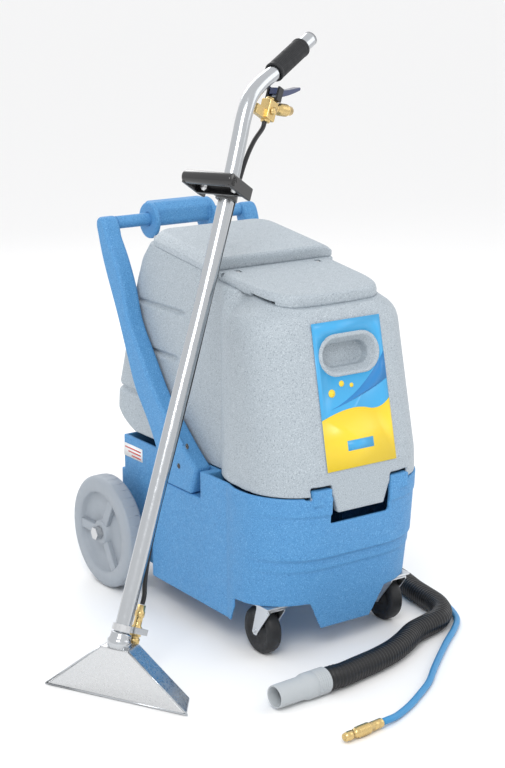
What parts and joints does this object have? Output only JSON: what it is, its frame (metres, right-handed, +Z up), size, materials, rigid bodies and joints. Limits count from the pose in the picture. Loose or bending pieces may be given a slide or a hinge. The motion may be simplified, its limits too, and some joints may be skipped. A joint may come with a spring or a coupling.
{
  "type": "carpet cleaner",
  "caption": "Wheeled box carpet extractor with a hinged twin water tank, handle frame, floor wand, suction hose and solution hose.",
  "frame": {"origin": "on the floor, at the middle of the footprint of the machine and its wand, without the hoses", "axes": "+Z up, -Y the machine's front, +X the machine's side away from the wand"},
  "size_m": [1.2858, 1.6602, 1.2226],
  "materials": {
    "base_blue": "rotomoulded speckled blue, fine texture",
    "tank_grey": "rotomoulded speckled light grey",
    "wheel_grey": "moulded mid grey",
    "black_plastic": "moulded black",
    "black_enamel": "gloss black",
    "rubber": "black rubber",
    "hose_black": "black ribbed hose",
    "steel": "plain steel",
    "zinc": "zinc plated",
    "chrome": "polished",
    "brass": "machined brass",
    "trigger_blue": "dark blue dipped coating",
    "label": "printed film",
    "hose_blue": "blue hose jacket",
    "cuff_grey": "soft grey vinyl"
  },
  "bodies": {
    "base": {"base_shell": "base_blue", "handle_crossbar": "base_blue", "control_housing": "base_blue", "rear_axle": "steel", "handle_arm_left": "base_blue", "arm_studs_left": "steel", "wheel_nut_left": "steel", "caster_plate_left": "zinc", "hinge_pin_left": "steel", "handle_arm_right": "base_blue", "arm_studs_right": "steel", "wheel_nut_right": "steel", "caster_plate_right": "zinc", "hinge_pin_right": "steel", "vacuum_motor_front": "black_plastic", "vacuum_motor_rear": "black_plastic", "solution_pump": "black_plastic", "suction_port": "black_plastic", "solution_outlet": "brass", "power_inlet": "black_plastic", "vacuum_hose_run": "hose_black", "vacuum_hose_tail": "hose_black", "vacuum_hose_coil": "hose_black", "hose_tie": "black_plastic", "solution_hose_run": "hose_blue", "solution_hose_tail": "hose_blue", "solution_hose_coil": "hose_blue", "hose_cuff": "cuff_grey", "hose_plug": "brass"},
    "pump_switch": {"pump_switch": "black_plastic"},
    "vacuum_switch": {"vacuum_switch": "black_plastic"},
    "rear_wheel_left": {"rear_wheel_left": "wheel_grey"},
    "rear_wheel_right": {"rear_wheel_right": "wheel_grey"},
    "caster_left": {"caster_fork_left": "zinc"},
    "caster_right": {"caster_fork_right": "zinc"},
    "caster_wheel_left": {"caster_wheel_left": "rubber"},
    "caster_wheel_right": {"caster_wheel_right": "rubber"},
    "tank": {"tank_shell": "tank_grey", "rear_lid_rod": "steel", "front_lid_rod": "steel", "front_label": "label", "float_standpipe": "black_plastic", "pickup_filter": "black_plastic", "drain_valve": "black_plastic"},
    "rear_lid": {"rear_lid": "tank_grey"},
    "front_lid": {"front_lid": "tank_grey"},
    "wand": {"wand_tube": "chrome", "wand_head": "chrome", "wand_grip": "rubber", "front_handle": "black_enamel", "handle_clamp": "black_enamel", "valve_body": "brass", "trigger_yoke": "black_plastic", "wand_coupler": "brass", "solution_line": "hose_black", "spray_jet": "brass", "jet_bracket": "steel"},
    "trigger": {"trigger_lever": "trigger_blue"}
  },
  "joints": [
    {"name": "pump_switch_rock", "type": "hinge", "parent": "base", "child": "pump_switch", "pos_m": [0.1381, 0.3437, 0.824], "axis": [1, 0, 0], "range_deg": [-8, 8]},
    {"name": "vacuum_switch_rock", "type": "hinge", "parent": "base", "child": "vacuum_switch", "pos_m": [0.1981, 0.3437, 0.824], "axis": [1, 0, 0], "range_deg": [-8, 8]},
    {"name": "rear_wheel_left_spin", "type": "hinge", "parent": "base", "child": "rear_wheel_left", "pos_m": [-0.0519, 0.2757, 0.127], "axis": [1, 0, 0], "continuous": true},
    {"name": "caster_left_swivel", "type": "hinge", "parent": "base", "child": "caster_left", "pos_m": [0.0111, -0.2653, 0.1], "axis": [0, 0, 1], "continuous": true},
    {"name": "caster_left_roll", "type": "hinge", "parent": "caster_left", "child": "caster_wheel_left", "pos_m": [0.0111, -0.2373, 0.05], "axis": [1, 0, 0], "continuous": true},
    {"name": "rear_wheel_right_spin", "type": "hinge", "parent": "base", "child": "rear_wheel_right", "pos_m": [0.3881, 0.2757, 0.127], "axis": [1, 0, 0], "continuous": true},
    {"name": "caster_right_swivel", "type": "hinge", "parent": "base", "child": "caster_right", "pos_m": [0.3251, -0.2653, 0.1], "axis": [0, 0, 1], "continuous": true},
    {"name": "caster_right_roll", "type": "hinge", "parent": "caster_right", "child": "caster_wheel_right", "pos_m": [0.3251, -0.2373, 0.05], "axis": [1, 0, 0], "continuous": true},
    {"name": "tank_tilt", "type": "hinge", "parent": "base", "child": "tank", "pos_m": [0.1681, -0.3493, 0.349], "axis": [1, 0, 0], "range_deg": [0, 40]},
    {"name": "rear_lid_open", "type": "hinge", "parent": "tank", "child": "rear_lid", "pos_m": [0.1681, 0.17022, 0.79795], "axis": [-1, 0, 0], "range_deg": [0, 85]},
    {"name": "front_lid_open", "type": "hinge", "parent": "tank", "child": "front_lid", "pos_m": [0.1681, -0.07106, 0.7519], "axis": [-1, 0, 0], "range_deg": [0, 70]},
    {"name": "wand_lift_off", "type": "slide", "parent": "base", "child": "wand", "axis": [-1, 0, 0], "range_m": [0, 0.6]},
    {"name": "trigger_squeeze", "type": "hinge", "parent": "wand", "child": "trigger", "pos_m": [0.18458, -0.03995, 1.10823], "axis": [0.3827, -0.9239, 0], "range_deg": [0, 10], "stiffness_Nm_per_rad": 0.6, "springref_deg": -8.59}
  ],
  "couplings": [
    {"joint": "wand_lift_off", "follows": "tank_tilt", "m_per_rad": 0.6}
  ]
}
